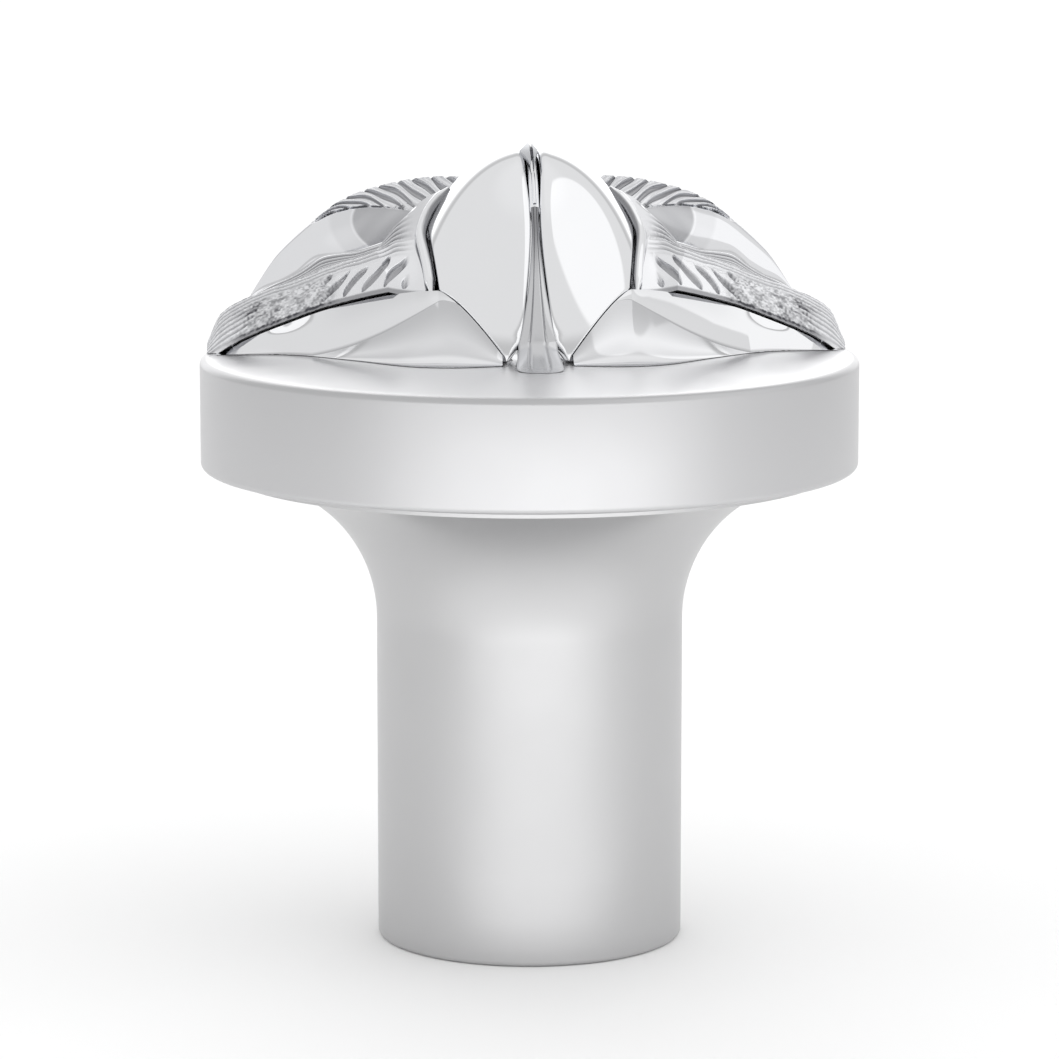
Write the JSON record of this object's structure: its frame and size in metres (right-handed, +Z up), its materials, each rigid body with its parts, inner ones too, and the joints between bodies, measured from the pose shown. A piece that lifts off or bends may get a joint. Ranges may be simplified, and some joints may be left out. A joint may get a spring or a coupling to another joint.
{
  "type": "hood ornament",
  "caption": "Polished metal hood ornament: a split dome with ribbed wings on a round plinth disc, carried by a flared round stem with a flat foot.",
  "frame": {"origin": "centre of the stem's flat foot", "axes": "+Z up along the stem's axis, -Y out of the slotted front, +X to the right as seen from the front"},
  "size_m": [0.065, 0.065, 0.0792],
  "materials": {
    "satin_steel": "satin turned",
    "polished_chrome": "mirror polished",
    "ribbed_chrome": "cast ribs under chrome, slightly matt",
    "dark_steel": "dark oxidised",
    "zinc_steel": "zinc plated"
  },
  "bodies": {
    "root": {"core_dowel_left": "zinc_steel", "core_dowel_right": "zinc_steel", "crest_clip": "dark_steel", "dome_core": "polished_chrome", "flat_washer": "zinc_steel", "foot_plug": "dark_steel", "front_left_wing": "ribbed_chrome", "front_right_wing": "ribbed_chrome", "left_rim_bead": "polished_chrome", "left_shell": "polished_chrome", "left_skirt": "polished_chrome", "lock_washer": "zinc_steel", "plinth_disc": "satin_steel", "rear_left_wing": "ribbed_chrome", "rear_right_wing": "ribbed_chrome", "right_rim_bead": "polished_chrome", "right_shell": "polished_chrome", "right_skirt": "polished_chrome", "slot_bar": "polished_chrome", "slot_keel": "polished_chrome", "stem": "satin_steel", "stem_dowel": "zinc_steel", "stem_nut": "zinc_steel", "tie_stud": "zinc_steel", "wing_screw_front_left": "zinc_steel", "wing_screw_front_right": "zinc_steel", "wing_screw_rear_left": "zinc_steel", "wing_screw_rear_right": "zinc_steel"}
  },
  "joints": []
}
